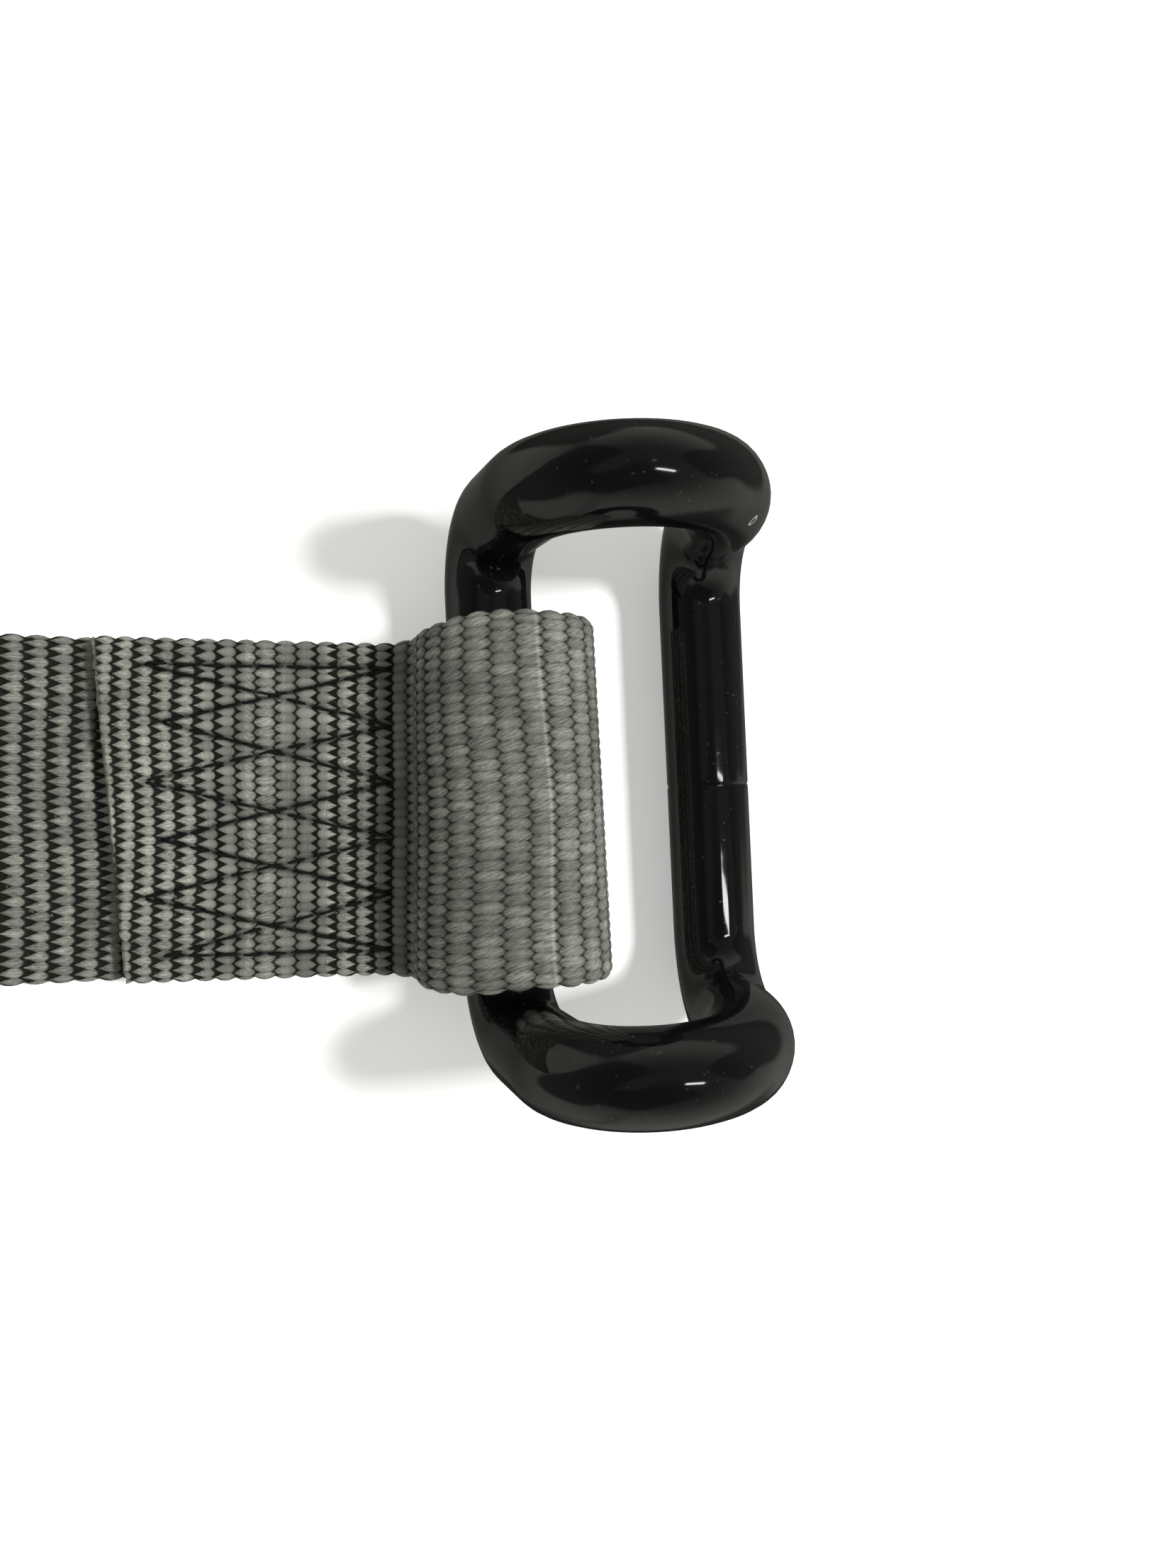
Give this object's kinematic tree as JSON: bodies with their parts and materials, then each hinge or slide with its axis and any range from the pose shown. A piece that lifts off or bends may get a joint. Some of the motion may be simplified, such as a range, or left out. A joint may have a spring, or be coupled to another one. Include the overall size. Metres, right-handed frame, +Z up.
{
  "type": "curtain tie-down strap with wire hook",
  "caption": "Flat woven strap folded and sewn round one bar of a closed wire hook with a U-shaped throat that hooks over a rail.",
  "frame": {"origin": "on the underside of the webbing, straight below the hook bar that the webbing holds, midway across the webbing", "axes": "+X along the strap towards the hook's tip, +Y across the webbing, +Z up from the face the strap lies on. The hook's bars lie 3 degrees from +Y, turned about +Z"},
  "size_m": [0.539, 0.0834, 0.0451],
  "materials": {
    "webbing": "woven polyester, matt",
    "thread": "bonded sewing thread",
    "hook_coating": "gloss dipped coating on steel rod"
  },
  "bodies": {
    "strap": {"webbing_strap": "webbing", "seam_thread": "thread"},
    "hook": {"wire_hook": "hook_coating"}
  },
  "joints": [
    {"name": "hook_swing", "type": "hinge", "parent": "strap", "child": "hook", "pos_m": [0, 0, 0.0096], "axis": [0.0523, -0.9986, 0], "range_deg": [-140, 165]}
  ]
}
